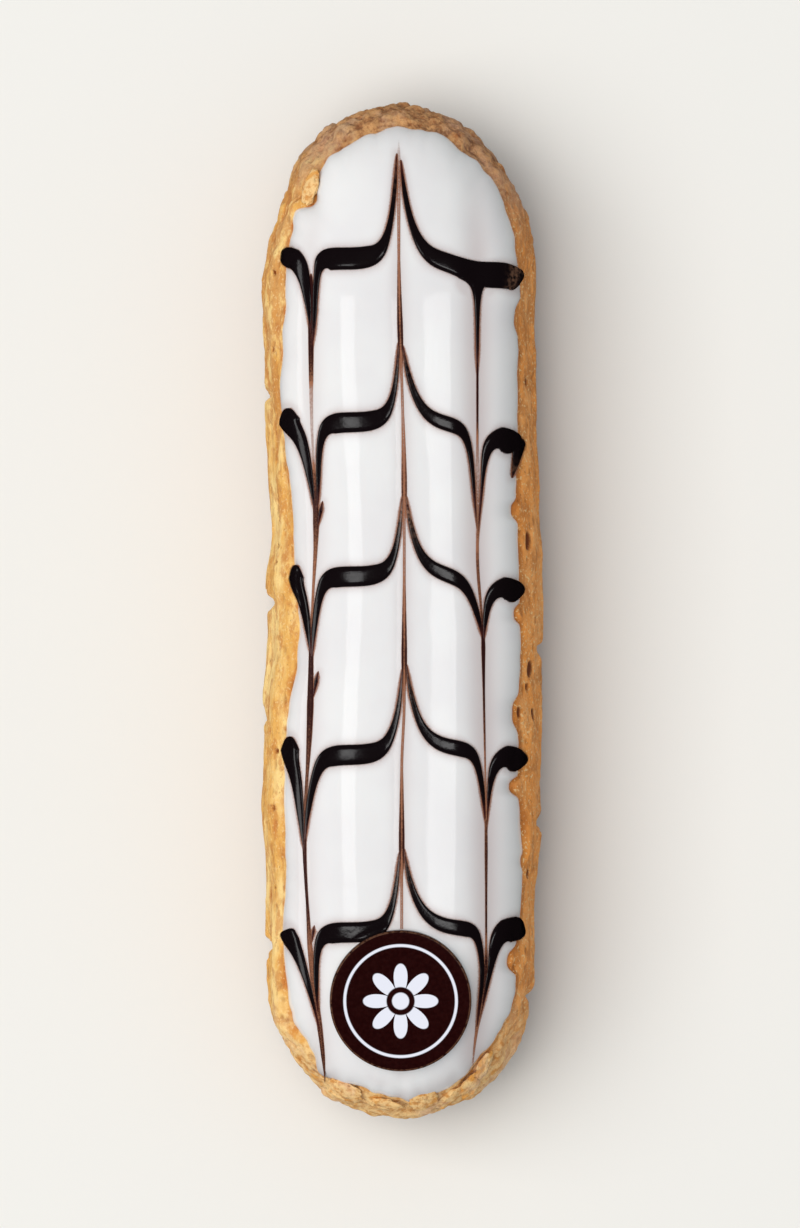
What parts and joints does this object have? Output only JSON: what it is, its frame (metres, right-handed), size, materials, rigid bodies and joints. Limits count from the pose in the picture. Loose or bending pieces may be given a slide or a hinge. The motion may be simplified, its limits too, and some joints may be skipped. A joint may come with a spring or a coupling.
{
  "type": "iced eclair",
  "caption": "Iced eclair: a long, ridged choux bun under a skin of glossy white icing, with feathered dark chocolate lines across it and a thin chocolate disc near one end.",
  "frame": {"origin": "on the surface the eclair rests on, under the middle of its outline", "axes": "+Y along the bun, away from the chocolate disc, +Z up, +X to the right seen from above with +Y up"},
  "size_m": [0.0391, 0.1401, 0.0307],
  "materials": {
    "crust": "baked choux crust, golden with browner grooves, matte",
    "icing": "white poured icing, glossy",
    "chocolate": "dark chocolate, satin to glossy"
  },
  "bodies": {
    "root": {"choux_bun": "crust", "icing": "icing", "chocolate_disc": "chocolate"}
  },
  "joints": []
}
